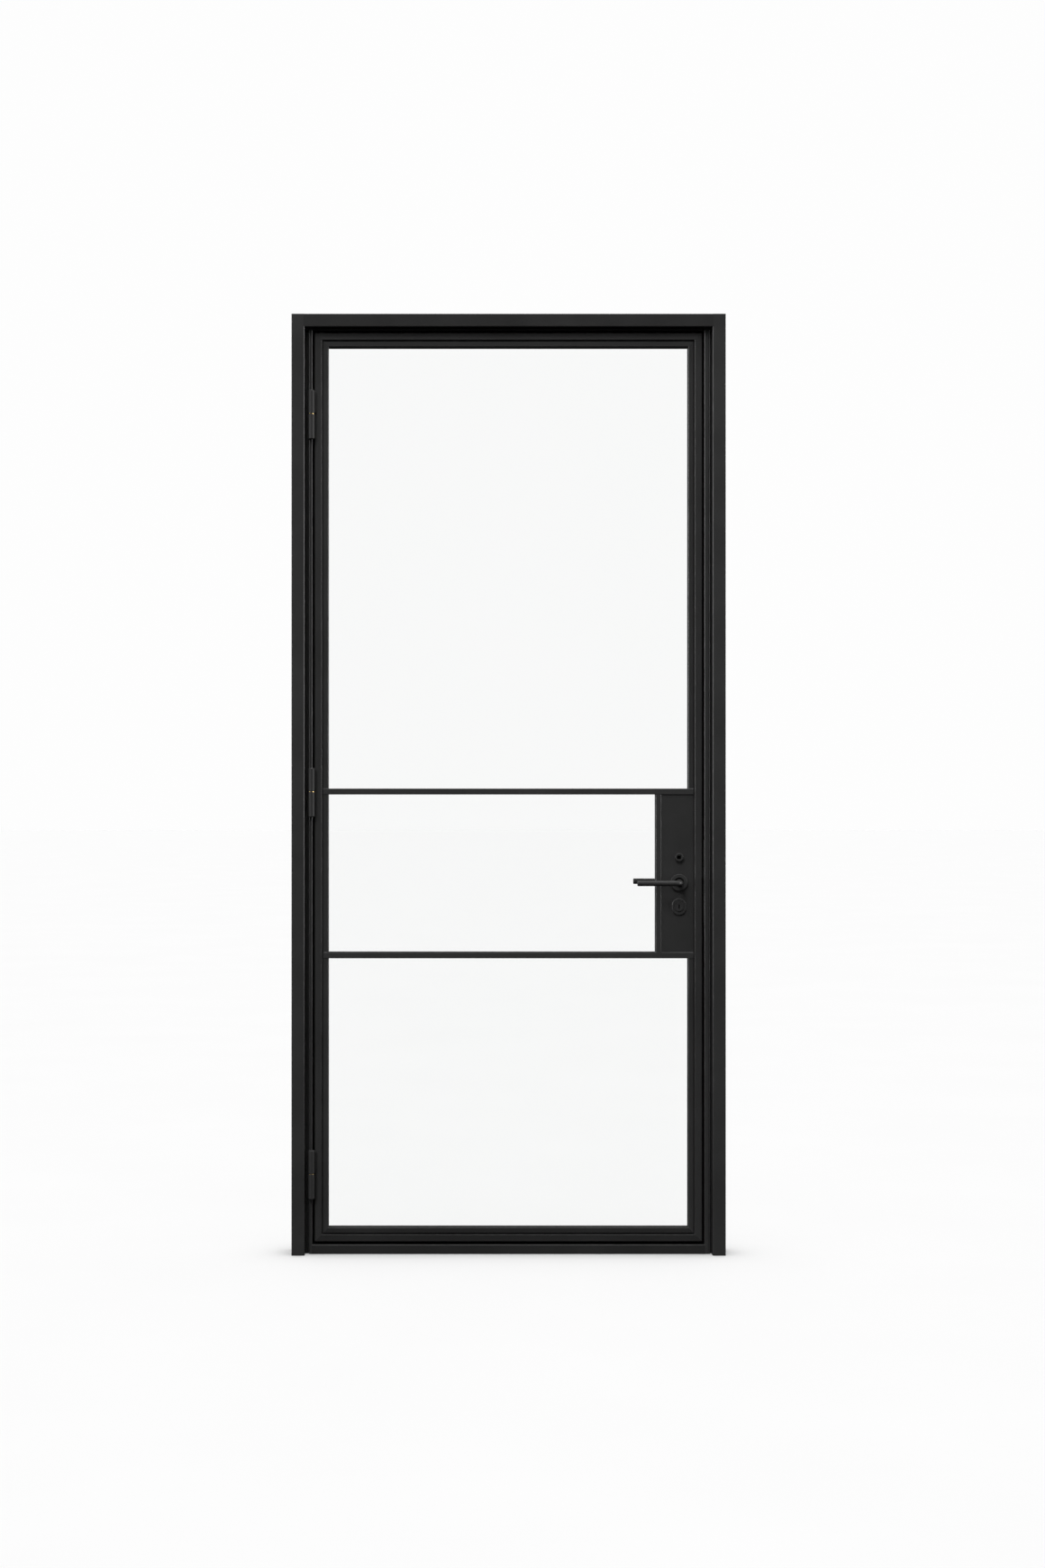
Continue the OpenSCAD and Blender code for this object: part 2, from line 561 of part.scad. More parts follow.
// ---------- lock ----------
module case_holes(y0, y1) {
  translate([ax, 0, lever_z]) along_y(y0, y1, 12);
  translate([ax, 0, service_z]) along_y(y0, y1, 7.5);
  translate([ax, 0, key_z]) along_y(y0, y1, 8.3);
}
module lock_case() {
  w = 1.5;
  color("#9a9da1") difference() {
    box([case_x0, case_y0, case_z0], [case_x1, case_y1 - w, case_z1]);
    box([case_x0 + w, case_y0 + w, case_z0 + w], [case_x1 + 1, case_y1, case_z1 - w]);
    case_holes(case_y0 - 1, case_y0 + w + 1);
  }
}
module lock_case_cover() {
  color("#9a9da1") difference() {
    box([case_x0, case_y1 - 1.5, case_z0], [case_x1, case_y1, case_z1]);
    case_holes(case_y1 - 3, case_y1 + 1);
  }
}
module forend() {
  color("#262626") difference() {
    box([lx - 2.5, ym - 11, lever_z - 120], [lx, ym + 11, lever_z + 120]);
    box([lx - 4, ym - 5.8, latch_z0 - 0.3], [lx + 1, ym + 5.8, latch_z1 + 0.3]);
    box([lx - 4, ym - 5.8, dead_z0 - 0.3], [lx + 1, ym + 5.8, dead_z1 + 0.3]);
    box([lx - 4, ym - 5.8, night_z0 - 0.3], [lx + 1, ym + 5.8, night_z1 + 0.3]);
    for (z = [lever_z - 110, lever_z + 110]) translate([lx, ym, z]) rotate([0, 90, 0]) screw(4.3, 2.5, 9);
  }
}
module forend_screws() {
  color("#2c2c2c") for (z = [lever_z - 110, lever_z + 110]) translate([lx, ym, z]) rotate([0, 90, 0]) difference() {
    screw(4.2, 2.4, 9);
    translate([0, 0, -1.2]) cylinder(h = 2, r = 1.4, $fn = 6);
  }
}
// Arm on a hub: turned by a degrees from upright about the axis that faces the viewer
module hub_arm(a, len, r, s = 1) {
  rotate([0, -a, 0]) {
    translate([0, 0, s * len]) along_y(ym - 4, ym + 4, r);
    box([-r, ym - 4, s > 0 ? 0 : -len], [r, ym + 4, s > 0 ? len : 0]);
  }
}
module lock_follower() {
  color("#8a8d90") translate([ax, 0, lever_z]) difference() {
    union() {
      along_y(case_y0 - 1, case_y1 + 1, 11.5);
      hub_arm(-22.5, arm, 3);
    }
    box([-4.05, case_y0 - 2, -4.05], [4.05, case_y1 + 2, 4.05]);
  }
}
module latch_bolt() {
  tail = case_x0 + 23;
  color("#2a2a2a") difference() {
    union() {
      translate([0, 0, latch_z0]) linear_extrude(height = 20)
        polygon([[lx - 11, ym - 5.5], [lx + latch_throw, ym - 5.5], [lx + latch_throw, ym - 2.5],
          [lx + 2.5, ym + 5.5], [lx - 11, ym + 5.5]]);
      box([tail, ym - 2.5, latch_z0], [lx - 11 + e, ym + 2.5, latch_z1]);
      translate([0, ym, latch_z0 + 10.5]) along_x(tail - 6, tail + e, 2.2);
    }
    box([ax + arm * sin(22.5) - 4.5, ym - 7, latch_z0 - 1], [ax + arm * sin(22.5) + 4.5, ym + 7, latch_z0 + 7.8]);
  }
}
// Compression spring behind the latch bolt
turns = 6; ring_n = 14; wire_n = 8; wire_r = 0.5; coil_r = 3.6;
spring_x0 = case_x0 + 2.1; spring_len = 20.3;
function coil_pt(t) = [spring_x0 + spring_len * t, ym + coil_r * cos(360 * turns * t), latch_z0 + 10.5 + coil_r * sin(360 * turns * t)];
function ring_pts(t) = let (a = 360 * turns * t, c = coil_pt(t), u = [0, cos(a), sin(a)])
  [for (k = [0:wire_n - 1]) c + wire_r * (cos(360 * k / wire_n) * u + sin(360 * k / wire_n) * [1, 0, 0])];
module latch_spring() {
  m = turns * ring_n;
  color("#c2c5c8") polyhedron(
    points = [for (i = [0:m]) each ring_pts(i / m)],
    faces = concat([[for (k = [0:wire_n - 1]) k]], [[for (k = [wire_n - 1:-1:0]) m * wire_n + k]],
      [for (i = [0:m - 1], k = [0:wire_n - 1]) [i * wire_n + k, (i + 1) * wire_n + k,
        (i + 1) * wire_n + (k + 1) % wire_n, i * wire_n + (k + 1) % wire_n]]));
}
module dead_bolt() {
  color("#b0b3b6") difference() {
    union() {
      box([lx - 36, ym - 5.5, dead_z0], [lx - 0.2, ym + 5.5, dead_z1]);
      box([ax - 24, ym - 2.5, dead_z0], [lx - 36 + e, ym + 2.5, dead_z1]);
    }
    box([ax - dead_throw / 2 - 5.5, ym - 7, dead_z0 - 1], [ax - dead_throw / 2 + 5.5, ym + 7, dead_z0 + 9]);
  }
}
module night_bolt() {
  color("#b0b3b6") difference() {
    union() {
      box([lx - 30, ym - 5.5, night_z0], [lx - 0.2, ym + 5.5, night_z1]);
      box([ax - 19, ym - 2.5, night_z0], [lx - 30 + e, ym + 2.5, night_z0 + 18.2]);
    }
    box([ax - night_throw / 2 - 4.4, ym - 7, night_z0 + 11.8], [ax - night_throw / 2 + 4.4, ym + 7, night_z0 + 20]);
  }
}
module key_plug() {
  color("#4a4a4a") translate([ax, 0, key_z]) difference() {
    union() {
      along_y(plate_y - 8, yb + 7, 7.75);
      hub_arm(45, dead_arm, 3);
    }
    box([-1.5, plate_y - 9, -6], [1.5, plate_y + 6, 6]);
    box([-1.5, yb - 7, -6], [1.5, yb + 8, 6]);
  }
}
module key_cylinders() {
  color("#303030") translate([ax, 0, key_z]) difference() {
    union() {
      along_y(plate_y - 8, case_y0 - 0.2, 11.5);
      along_y(case_y1 + 0.2, yb + 7, 11.5);
    }
    along_y(plate_y - 10, yb + 10, 7.8);
  }
}
module service_follower() {
  color("#3a3a3a") translate([ax, 0, service_z]) difference() {
    union() {
      along_y(plate_y - 8.5, yb + 8.5, 6.6);
      hub_arm(-45, night_arm, 2.5, -1);
    }
    box([-4, plate_y - 10, -4], [4, plate_y + 6, 4]);
    box([-4, yb - 6, -4], [4, yb + 10, 4]);
  }
}
module service_head(y0, y1, yin) {
  color("#262626") translate([ax, 0, service_z]) difference() {
    union() {
      translate([0, y0, 0]) rotate([y0 < y1 ? -90 : 90, 0, 0])
        rotate_extrude() polygon(rounded([[0, 0, 0], [11, 0, 0], [11, 10, 1.4], [0, 10, 0]]));
      along_y(min(y0, yin), max(y0, yin), 9);
    }
    along_y(min(yin, y1) - 1, max(yin, y1) + 1, 6.65);
  }
}
module front_service_head() { service_head(plate_y, plate_y - 10, plate_y + 6.5); }
module back_service_head() { service_head(yb, yb + 10, yb - 6.5); }

// ---------- fittings ----------
module rose(y, s) {
  color("#262626") translate([ax, y, lever_z]) rotate([s < 0 ? 90 : -90, 0, 0])
    rotate_extrude($fn = 96) polygon(rounded([[9.3, 0, 0], [22.25, 0, 0], [22.25, 8, 1.5], [13, 8, 1], [13, 2, 0], [9.3, 2, 0]]));
}
module front_rose() { rose(plate_y, -1); }
module back_rose() { rose(yb, 1); }
module escutcheon_body() {
  difference() {
    union() {
      for (s = [-1, 1]) translate([0, 0, s * 3.5])
        rotate([90, 0, 0]) rotate_extrude($fn = 96) polygon([[0, 0], [19, 0], [19, 3.6], [17.6, 5], [0, 5]]);
      box([-19, -3.6, -3.5], [19, 0, 3.5]);
      box([-17.6, -5, -3.5], [17.6, 0, 3.5]);
    }
    along_y(-9, 1, 11.8);
    for (s = [-1, 1]) translate([0, -5, s * 15.8]) rotate([90, 0, 0]) screw(2.75, 1.6, 9);
  }
}
module front_escutcheon() { color("#262626") translate([ax, plate_y, key_z]) escutcheon_body(); }
module back_escutcheon() { color("#262626") translate([ax, yb, key_z]) mirror([0, 1, 0]) escutcheon_body(); }
module escutcheon_screws() {
  color("#3c3c3c") for (s = [-1, 1]) {
    translate([ax, plate_y - 5, key_z + s * 15.8]) rotate([90, 0, 0]) difference() {
      screw(2.65, 1.5, 9);
      translate([0, 0, -1]) cylinder(h = 2, r = 1, $fn = 6);
    }
    translate([ax, yb + 5, key_z + s * 15.8]) rotate([-90, 0, 0]) difference() {
      screw(2.65, 1.5, 9);
      translate([0, 0, -1]) cylinder(h = 2, r = 1, $fn = 6);
    }
  }
}
// Lever seen from the front, its axis at the origin and the leaf's face at y = 0
module lever_body() {
  bend = 12;
  difference() {
    union() {
      along_y(-11, 6, 9);
      along_y(-lever_off + bend, -2.5, lever_r);
      translate([-bend, -lever_off + bend, 0]) rotate([0, 0, -90]) rotate_extrude(angle = 90) translate([bend, 0]) circle(r = lever_r, $fn = 48);
      translate([0, -lever_off, 0]) along_x(-lever_len + 1.2, -bend, lever_r);
      translate([-lever_len + 1.2, -lever_off, 0]) rotate([0, -90, 0]) cylinder(h = 1.2, r1 = lever_r, r2 = lever_r - 1.2);
    }
    box([-4.05, -28.5, -4.05], [4.05, 7, 4.05]);
    translate([0, -7.5, -10]) cylinder(h = 7, r = 2);
  }
}
module front_lever() { color("#262626") translate([ax, ys, lever_z]) lever_body(); }
module back_lever() { color("#262626") translate([ax, yb, lever_z]) mirror([0, 1, 0]) lever_body(); }
module spindle() { color("#9a9da1") box([ax - 4, ys - 28, lever_z - 4], [ax + 4, yb + 28, lever_z + 4]); }
module lever_set_screws() {
  color("#9a9da1") for (y = [ys - 7.5, yb + 7.5]) translate([ax, y, lever_z - 8.6]) difference() {
    cylinder(h = 4.5, r = 1.95);
    translate([0, 0, -1]) cylinder(h = 2.5, r = 1, $fn = 6);
  }
}

hinge_jamb();
strike_jamb();
frame_head();
threshold();
jamb_seals();
head_seal();
sill_seal();
fixing_sleeves();
strike_plate();
strike_screws();
top_hinge_frame_half();
middle_hinge_frame_half();
bottom_hinge_frame_half();
hinge_pins();
hinge_washers();
hinge_stile();
lock_stile();
top_rail();
bottom_rail();
upper_glazing_bar();
lower_glazing_bar();
lock_bar();
lock_front_plate();
lock_back_plate();
upper_glass();
middle_glass();
lower_glass();
upper_beads();
middle_beads();
lower_beads();
bead_screws();
front_gaskets();
back_gaskets();
setting_blocks();
top_hinge_leaf_half();
middle_hinge_leaf_half();
bottom_hinge_leaf_half();
lock_case();
lock_case_cover();
forend();
forend_screws();
front_rose();
back_rose();
front_service_head();
back_service_head();
front_escutcheon();
back_escutcheon();
escutcheon_screws();
key_cylinders();
latch_spring();
front_lever();
back_lever();
spindle();
lock_follower();
lever_set_screws();
latch_bolt();
dead_bolt();
key_plug();
service_follower();
night_bolt();
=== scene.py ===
import json
import math

import bmesh
import bpy
from mathutils import Matrix, Vector

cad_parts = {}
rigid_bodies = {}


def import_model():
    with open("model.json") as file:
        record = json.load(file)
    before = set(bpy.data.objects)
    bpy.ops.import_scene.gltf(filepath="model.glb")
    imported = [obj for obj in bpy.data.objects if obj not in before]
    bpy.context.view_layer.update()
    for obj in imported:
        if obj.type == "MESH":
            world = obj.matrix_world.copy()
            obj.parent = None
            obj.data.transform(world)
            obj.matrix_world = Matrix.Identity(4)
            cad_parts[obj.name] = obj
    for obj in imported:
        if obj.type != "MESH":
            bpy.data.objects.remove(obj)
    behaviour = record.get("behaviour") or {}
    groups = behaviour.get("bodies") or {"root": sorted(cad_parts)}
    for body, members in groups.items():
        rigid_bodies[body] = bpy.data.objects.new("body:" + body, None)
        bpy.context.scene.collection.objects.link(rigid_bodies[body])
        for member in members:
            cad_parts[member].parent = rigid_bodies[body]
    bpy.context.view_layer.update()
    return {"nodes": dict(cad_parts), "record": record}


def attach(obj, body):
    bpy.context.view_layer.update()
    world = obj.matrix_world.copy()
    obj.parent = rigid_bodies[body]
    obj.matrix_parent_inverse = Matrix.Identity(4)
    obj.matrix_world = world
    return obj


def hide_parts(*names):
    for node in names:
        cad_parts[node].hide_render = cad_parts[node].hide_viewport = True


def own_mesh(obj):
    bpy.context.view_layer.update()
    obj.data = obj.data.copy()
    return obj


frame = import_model()
nodes = frame["nodes"]
node_body = {n: b for b, ns in frame["record"]["behaviour"]["bodies"].items() for n in ns}
scene = bpy.context.scene
MM = 0.001

# studio light levels
CEILING = 0.5
SIDE = 21.0
TOP = 22.0
FRONT = 0.03
BELOW = 0.02
KEY = 3.8
FILL = 3.4
BACK = 0.8
BACK_BOX = 12.0
FLOOR = 2.83

# ---------------------------------------------------------------- materials


def new_material(name):
    m = bpy.data.materials.new(name)
    m.use_nodes = True
    nt = m.node_tree
    return m, nt, nt.nodes["Principled BSDF"]


def noise(nt, coord, scale, detail=3.0, rough=0.5):
    n = nt.nodes.new("ShaderNodeTexNoise")
    n.inputs["Scale"].default_value = scale
    n.inputs["Detail"].default_value = detail
    n.inputs["Roughness"].default_value = rough
    nt.links.new(coord, n.inputs["Vector"])
    return n


def ramp(nt, fac, stops):
    r = nt.nodes.new("ShaderNodeValToRGB")
    els = r.color_ramp.elements
    while len(els) < len(stops):
        els.new(0.5)
    for e, (p, c) in zip(els, stops):
        e.position = p
        e.color = (c[0], c[1], c[2], 1.0)
    nt.links.new(fac, r.inputs["Fac"])
    return r


def span(nt, value, lo, hi, a=0.0, b=1.0):
    r = nt.nodes.new("ShaderNodeMapRange")
    r.inputs["From Min"].default_value = a
    r.inputs["From Max"].default_value = b
    r.inputs["To Min"].default_value = lo
    r.inputs["To Max"].default_value = hi
    nt.links.new(value, r.inputs["Value"])
    return r


def bump(nt, height, strength, distance, normal=None):
    b = nt.nodes.new("ShaderNodeBump")
    b.inputs["Strength"].default_value = strength
    b.inputs["Distance"].default_value = distance
    nt.links.new(height, b.inputs["Height"])
    if normal is not None:
        nt.links.new(normal, b.inputs["Normal"])
    return b


def coords(nt, stretch=(1, 1, 1)):
    t = nt.nodes.new("ShaderNodeTexCoord")
    if stretch == (1, 1, 1):
        return t.outputs["Object"]
    m = nt.nodes.new("ShaderNodeMapping")
    m.inputs["Scale"].default_value = stretch
    nt.links.new(t.outputs["Object"], m.inputs["Vector"])
    return m.outputs["Vector"]


def painted(name, dark, light, r_lo, r_hi, peel, spec):
    """Powder coat: fine orange peel, a faint drift in tone and in gloss."""
    m, nt, p = new_material(name)
    c = coords(nt)
    drift = noise(nt, c, 7.0, 4.0, 0.6)
    fine = noise(nt, c, 420.0, 2.0, 0.4)
    tone = ramp(nt, drift.outputs["Fac"], [(0.3, dark), (0.7, light)])
    nt.links.new(tone.outputs["Color"], p.inputs["Base Color"])
    nt.links.new(span(nt, drift.outputs["Fac"], r_lo, r_hi, 0.3, 0.7).outputs["Result"], p.inputs["Roughness"])
    coarse = noise(nt, c, 150.0, 2.0, 0.5)
    b1 = bump(nt, coarse.outputs["Fac"], peel, 0.00012)
    b2 = bump(nt, fine.outputs["Fac"], peel, 0.00006, b1.outputs["Normal"])
    nt.links.new(b2.outputs["Normal"], p.inputs["Normal"])
    p.inputs["Specular IOR Level"].default_value = spec
    return m


def brushed(name, dark, light, r_lo, r_hi, stretch):
    m, nt, p = new_material(name)
    c = coords(nt, stretch)
    grain = noise(nt, c, 60.0, 5.0, 0.7)
    tone = ramp(nt, grain.outputs["Fac"], [(0.3, dark), (0.72, light)])
    nt.links.new(tone.outputs["Color"], p.inputs["Base Color"])
    nt.links.new(span(nt, grain.outputs["Fac"], r_lo, r_hi, 0.3, 0.7).outputs["Result"], p.inputs["Roughness"])
    b = bump(nt, grain.outputs["Fac"], 0.25, 0.00005)
    nt.links.new(b.outputs["Normal"], p.inputs["Normal"])
    p.inputs["Metallic"].default_value = 1.0
    return m


def matt(name, dark, light, r_lo, r_hi, scale, depth):
    m, nt, p = new_material(name)
    c = coords(nt)
    g = noise(nt, c, scale, 4.0, 0.6)
    tone = ramp(nt, g.outputs["Fac"], [(0.3, dark), (0.7, light)])
    nt.links.new(tone.outputs["Color"], p.inputs["Base Color"])
    nt.links.new(span(nt, g.outputs["Fac"], r_lo, r_hi, 0.3, 0.7).outputs["Result"], p.inputs["Roughness"])
    b = bump(nt, g.outputs["Fac"], 0.4, depth)
    nt.links.new(b.outputs["Normal"], p.inputs["Normal"])
    p.inputs["Specular IOR Level"].default_value = 0.3
    return m


def clear_glass(name):
    m, nt, p = new_material(name)
    c = coords(nt)
    film = noise(nt, c, 2.2, 3.0, 0.5)
    tone = ramp(nt, film.outputs["Fac"], [(0.3, (0.990, 0.998, 0.993)), (0.7, (0.996, 1.0, 0.998))])
    nt.links.new(tone.outputs["Color"], p.inputs["Base Color"])
    p.inputs["Roughness"].default_value = 0.0
    p.inputs["IOR"].default_value = 1.34
    p.inputs["Transmission Weight"].default_value = 1.0
    return m


PAINT = painted("satin_black_paint", (0.0100,) * 3, (0.0118,) * 3, 0.31, 0.38, 0.16, 0.65)
# darker copy of the same paint for the threshold and bottom rail: painted shade near the floor
SHADED_LOW_PAINT = painted("satin_black_paint_low", (0.0076,) * 3, (0.0090,) * 3, 0.34, 0.42, 0.16, 0.30)
# brighter copy of the same paint for the top rail and glazing bars: painted light making up for the shade under the
# head's flange and the side boxes they are not lit by
LIT_TOP_PAINT = painted("satin_black_paint_top", (0.0132,) * 3, (0.0154,) * 3, 0.31, 0.38, 0.16, 0.65)
FITTING = painted("satin_black_fittings", (0.0095,) * 3, (0.0112,) * 3, 0.50, 0.56, 0.10, 0.25)
STEEL = brushed("zinc_brushed_steel", (0.42, 0.43, 0.44), (0.62, 0.63, 0.64), 0.26, 0.40, (1, 1, 14))
BRASS = brushed("plain_brass", (0.60, 0.42, 0.17), (0.78, 0.58, 0.27), 0.28, 0.40, (1, 1, 8))
RUBBER = matt("seal_rubber", (0.010,) * 3, (0.016,) * 3, 0.62, 0.78, 260.0, 0.00008)
PLASTIC = matt("block_plastic", (0.045, 0.048, 0.052), (0.06, 0.064, 0.068), 0.5, 0.6, 300.0, 0.00005)
GLASS = clear_glass("clear_glass")

SLOT_MATERIAL = {
    "black_paint": PAINT,
    "black_fittings": FITTING,
    "lock_steel": STEEL,
    "seal_rubber": RUBBER,
    "clear_glass": GLASS,
    "washer_brass": BRASS,
    "block_plastic": PLASTIC,
}
node_slot = {s["node"]: s["material_slot"] for s in frame["record"]["subparts"]}

# ---------------------------------------------------------------- pieces from the CAD shapes


def clean_mesh(name, node):
    """The CAD node's surface with merged points and whole flat faces."""
    src = nodes[node].data
    bm = bmesh.new()
    vs = [bm.verts.new(v.co) for v in src.vertices]
    bm.verts.ensure_lookup_table()
    for p in src.polygons:
        try:
            bm.faces.new([vs[i] for i in p.vertices])
        except ValueError:
            pass
    bmesh.ops.remove_doubles(bm, verts=bm.verts, dist=4e-6)
    bmesh.ops.dissolve_degenerate(bm, edges=bm.edges, dist=1e-6)
    bmesh.ops.recalc_face_normals(bm, faces=bm.faces)
    return bm


def shade(bm, angle):
    for f in bm.faces:
        f.smooth = True
    for e in bm.edges:
        e.smooth = len(e.link_faces) == 2 and e.calc_face_angle(math.pi) < math.radians(angle)


def soften(bm, width, segments=2, angle=40.0, keep=None):
    """Rounds the outer edges that are sharper than angle, leaving those that keep(edge) names."""
    bmesh.ops.dissolve_limit(bm, angle_limit=math.radians(0.4), use_dissolve_boundaries=False,
                             verts=bm.verts, edges=bm.edges, delimit=set())
    bm.normal_update()
    edges = []
    for e in bm.edges:
        if len(e.link_faces) != 2 or not e.is_convex:
            continue
        if e.calc_face_angle(0.0) < math.radians(angle):
            continue
        if keep is not None and keep(e):
            continue
        edges.append(e)
    if edges:
        bmesh.ops.bevel(bm, geom=edges, offset=width, offset_type="OFFSET", segments=segments, profile=0.5,
                        affect="EDGES", clamp_overlap=True, loop_slide=True)


def stand_in(node, width=0.0, segments=2, angle=40.0, shade_angle=38.0, keep=None):
    """A copy of a CAD node with softened edges, which is shown in its place."""
    bm = clean_mesh(node, node)
    if width > 0:
        soften(bm, width, segments, angle, keep)
    bm.normal_update()
    shade(bm, shade_angle)
    me = bpy.data.meshes.new(node + "_shape")
    bm.to_mesh(me)
    bm.free()
    ob = bpy.data.objects.new(node + "_piece", me)
    scene.collection.objects.link(ob)
    me.materials.append(SLOT_MATERIAL[node_slot[node]])
    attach(ob, node_body[node])
    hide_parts(node)
    flat = ob.modifiers.new("flat_faces", "WEIGHTED_NORMAL")
    flat.keep_sharp = True
    return ob


LONG = ["hinge_jamb", "strike_jamb", "frame_head", "threshold", "hinge_stile", "lock_stile", "top_rail", "bottom_rail"]
for n in LONG:
    ob = stand_in(n)
    # the threshold and bottom rail take the darker copy (painted shade), the top rail the brighter copy (painted
    # light)
    if n in ("threshold", "bottom_rail"):
        ob.data.materials[0] = SHADED_LOW_PAINT
    elif n == "top_rail":
        ob.data.materials[0] = LIT_TOP_PAINT
for n in ["upper_glazing_bar", "lower_glazing_bar", "lock_bar"]:
    ob = stand_in(n)
    # the glazing bars take the brighter copy: painted light
    if n != "lock_bar":
        ob.data.materials[0] = LIT_TOP_PAINT
for n in ["lock_front_plate", "lock_back_plate"]:
    stand_in(n, 0.5 * MM)
for n in ["upper_beads", "middle_beads", "lower_beads"]:
    stand_in(n, 0.6 * MM)
for n in ["front_lever", "back_lever", "front_rose", "back_rose", "front_service_head", "back_service_head",
          "front_escutcheon", "back_escutcheon"]:
    stand_in(n, 0.35 * MM)
for n in ["key_plug", "key_cylinders", "service_follower"]:
    stand_in(n, 0.25 * MM)
for n in ["top_hinge_frame_half", "middle_hinge_frame_half", "bottom_hinge_frame_half",
          "top_hinge_leaf_half", "middle_hinge_leaf_half", "bottom_hinge_leaf_half"]:
    ob = stand_in(n, 0.4 * MM)
    ob.data.materials[0] = FITTING
for n in ["strike_plate", "forend", "latch_bolt", "dead_bolt", "night_bolt"]:
    stand_in(n, 0.4 * MM)

for n in ["upper_glass", "middle_glass", "lower_glass"]:
    pane = stand_in(n, 0.5 * MM, 1)
    pane.visible_shadow = False
    pane.visible_diffuse = False
    pane.visible_glossy = False

# the spring's piece gets a mesh of its own
spring = stand_in("latch_spring")
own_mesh(spring)

replaced = {o.name[:-6] for o in bpy.data.objects if o.name.endswith("_piece")}
for n, o in nodes.items():
    if n in replaced:
        continue
    o.data.materials.clear()
    o.data.materials.append(SLOT_MATERIAL[node_slot[n]])

# ---------------------------------------------------------------- studio

floor_me = bpy.data.meshes.new("floor")
R = 60.0
floor_me.from_pydata([(-R, -R, 0), (R, -R, 0), (R, R, 0), (-R, R, 0)], [], [(0, 1, 2, 3)])
floor = bpy.data.objects.new("floor", floor_me)
scene.collection.objects.link(floor)
fm, fnt, fp = new_material("pale_floor")
fc = coords(fnt)
fn = noise(fnt, fc, 1.5, 3.0, 0.5)
ft = ramp(fnt, fn.outputs["Fac"], [(0.3, (0.90, 0.90, 0.90)), (0.7, (0.91, 0.91, 0.91))])
fnt.links.new(ft.outputs["Color"], fp.inputs["Base Color"])
fp.inputs["Roughness"].default_value = 0.9
fp.inputs["Specular IOR Level"].default_value = 0.1
floor_me.materials.append(fm)
floor.visible_diffuse = False
floor.visible_glossy = False


def foot_block(x0, x1):
    """A low block hidden inside a jamb's foot, which only deepens the contact shadow."""
    y, z0, z1 = 0.049, 0.0005, 0.07
    me = bpy.data.meshes.new("foot_block")
    me.from_pydata([(x0, -y, z0), (x1, -y, z0), (x1, y, z0), (x0, y, z0), (x0, -y, z1), (x1, -y, z1), (x1, y, z1), (x0, y, z1)], [],
                   [(3, 2, 1, 0), (4, 5, 6, 7), (0, 1, 5, 4), (1, 2, 6, 5), (2, 3, 7, 6), (3, 0, 4, 7)])
    me.materials.append(PAINT)
    ob = bpy.data.objects.new("foot_block", me)
    scene.collection.objects.link(ob)
    ob.visible_camera = False
    ob.visible_diffuse = False
    ob.visible_glossy = False
    ob.visible_transmission = False
    return ob


foot_blocks = [foot_block(-0.5755, -0.5435), foot_block(0.5435, 0.5755)]

world = bpy.data.worlds.new("studio")
scene.world = world
world.use_nodes = True
wt = world.node_tree


def w_math(op, a, b=None, clamp=False):
    n = wt.nodes.new("ShaderNodeMath")
    n.operation = op
    n.use_clamp = clamp
    for i, v in enumerate((a, b)):
        if v is None:
            continue
        if isinstance(v, (int, float)):
            n.inputs[i].default_value = v
        else:
            wt.links.new(v, n.inputs[i])
    return n.outputs["Value"]


def w_step(v, lo, hi):
    n = wt.nodes.new("ShaderNodeMapRange")
    n.interpolation_type = "SMOOTHSTEP"
    n.inputs["From Min"].default_value = lo
    n.inputs["From Max"].default_value = hi
    wt.links.new(v, n.inputs["Value"])
    return n.outputs["Result"]


# a bright ceiling and dim walls
w_dir = wt.nodes.new("ShaderNodeTexCoord")
w_xyz = wt.nodes.new("ShaderNodeSeparateXYZ")
wt.links.new(w_dir.outputs["Generated"], w_xyz.inputs["Vector"])
ceiling = w_math("MULTIPLY", w_step(w_xyz.outputs["Z"], 0.70, 0.96), CEILING)
above = w_step(w_xyz.outputs["Z"], -0.15, 0.10)
lit = w_math("MULTIPLY", w_math("ADD", ceiling, FRONT - BELOW), above)
lit = w_math("ADD", lit, BELOW)
bg = wt.nodes["Background"]
bg.inputs["Color"].default_value = (1.0, 1.0, 1.0, 1.0)
wt.links.new(lit, bg.inputs["Strength"])
seen = wt.nodes.new("ShaderNodeBackground")
seen.inputs["Color"].default_value = (1.0, 1.0, 1.0, 1.0)
path = wt.nodes.new("ShaderNodeLightPath")
bounces = w_math("ADD", path.outputs["Diffuse Depth"], path.outputs["Glossy Depth"])
through = w_math("MULTIPLY", path.outputs["Is Transmission Ray"], w_math("LESS_THAN", bounces, 0.5))
either = w_math("MAXIMUM", path.outputs["Is Camera Ray"], through)
seen.inputs["Strength"].default_value = 0.985
mix = wt.nodes.new("ShaderNodeMixShader")
wt.links.new(either, mix.inputs["Fac"])
wt.links.new(bg.outputs["Background"], mix.inputs[1])
wt.links.new(seen.outputs["Background"], mix.inputs[2])
wt.links.new(mix.outputs["Shader"], wt.nodes["World Output"].inputs["Surface"])


def aim(ob, place, at):
    ob.location = place
    d = Vector(at) - Vector(place)
    ob.rotation_euler = d.to_track_quat("-Z", "Y").to_euler()


lit_by_key = bpy.data.collections.new("lit_by_key")
shades_key = bpy.data.collections.new("shades_key")
for o in scene.objects:
    if o.type == "MESH" and o is not floor and o not in foot_blocks:
        lit_by_key.objects.link(o)
        if "lever" not in o.name:
            shades_key.objects.link(o)


def soft_sun(name, level, angle, place):
    d = bpy.data.lights.new(name, "SUN")
    d.energy = level
    d.angle = math.radians(angle)
    o = bpy.data.objects.new(name, d)
    scene.collection.objects.link(o)
    aim(o, place, (0, 0, 0))
    return o


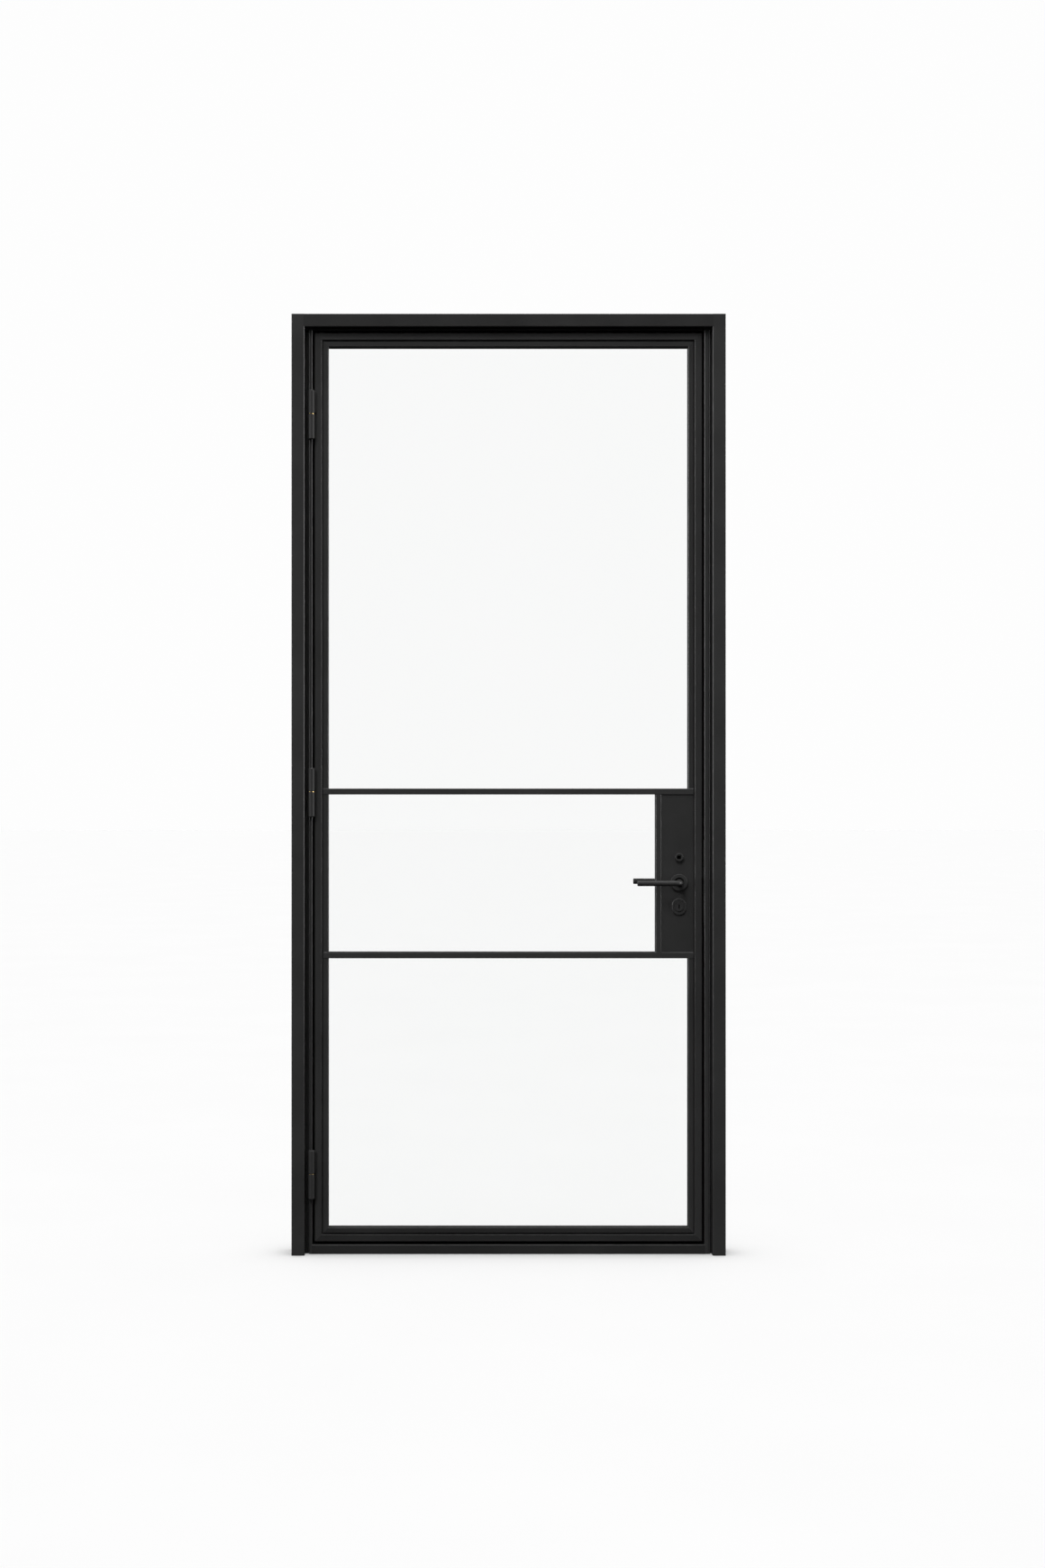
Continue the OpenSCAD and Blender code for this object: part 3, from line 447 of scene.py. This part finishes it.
FRONT_SIDE = (-1.70, -4.0, 4.05)
BACK_SIDE = (1.70, 4.0, 4.05)
for name, level, angle, place, blockers in (
        ("key", 0.5 * KEY, 13, FRONT_SIDE, None),
        ("key_past_lever", 0.5 * KEY, 13, FRONT_SIDE, shades_key),
        ("fill", FILL, 75, FRONT_SIDE, None),
        ("back_key", BACK * KEY, 13, BACK_SIDE, None),
        ("back_fill", BACK * FILL, 75, BACK_SIDE, None)):
    sun = soft_sun(name, level, angle, place)
    sun.light_linking.receiver_collection = lit_by_key
    sun.visible_glossy = False
    sun.visible_transmission = False
    if blockers is not None:
        sun.light_linking.blocker_collection = blockers


# the boxes leave no mirror image in the glass, and those at the sides none on the level tops
lit_by_boxes = bpy.data.collections.new("lit_by_boxes")
lit_by_sides = bpy.data.collections.new("lit_by_sides")
for o in lit_by_key.objects:
    if "glass" in o.name:
        continue
    lit_by_boxes.objects.link(o)
    if not o.name.startswith(("frame_head", "top_rail", "upper_glazing_bar", "lower_glazing_bar")):
        lit_by_sides.objects.link(o)


def softbox(name, level, size, place, at):
    d = bpy.data.lights.new(name, "AREA")
    d.shape = "RECTANGLE"
    d.size, d.size_y = size
    d.energy = level * math.pi * size[0] * size[1]
    o = bpy.data.objects.new(name, d)
    scene.collection.objects.link(o)
    aim(o, place, at)
    o.visible_diffuse = False
    o.visible_transmission = False
    o.light_linking.receiver_collection = lit_by_boxes if name == "top_box" else lit_by_sides


softbox("left_box", SIDE, (1.0, 3.2), (-3.6, -1.0, 2.1), (0, 0, 1.5))
softbox("right_box", SIDE, (1.0, 3.2), (3.6, -1.0, 2.1), (0, 0, 1.5))
softbox("top_box", TOP, (4.6, 1.2), (0, -1.6, 7.0), (0, 0, 1.5))
softbox("back_left_box", BACK_BOX, (1.0, 3.2), (-3.6, 4.5, 2.1), (0, 0, 1.5))
softbox("back_right_box", BACK_BOX, (1.0, 3.2), (3.6, 4.5, 2.1), (0, 0, 1.5))

# even light on the floor, with a shadow close to the door's foot
even = soft_sun("even", FLOOR, 170, (0, 0, 3))
on_floor = bpy.data.collections.new("on_floor")
on_floor.objects.link(floor)
even.light_linking.receiver_collection = on_floor
foot = bpy.data.collections.new("foot")
for n in ("threshold", "bottom_rail"):
    foot.objects.link(bpy.data.objects[n + "_piece"])
for ob in foot_blocks:
    foot.objects.link(ob)
even.light_linking.blocker_collection = foot

cam_data = bpy.data.cameras.new("camera")
cam_data.sensor_width = 36.0
cam_data.lens = 56.236
cam_data.clip_end = 200.0
cam = bpy.data.objects.new("camera", cam_data)
scene.collection.objects.link(cam)
cam.location = (-0.175, -6.55, 1.2520)
cam_data.shift_x = 0.0509
cam.rotation_euler = (math.radians(90), 0, 0)
scene.camera = cam

scene.view_settings.view_transform = "Standard"
scene.view_settings.look = "None"
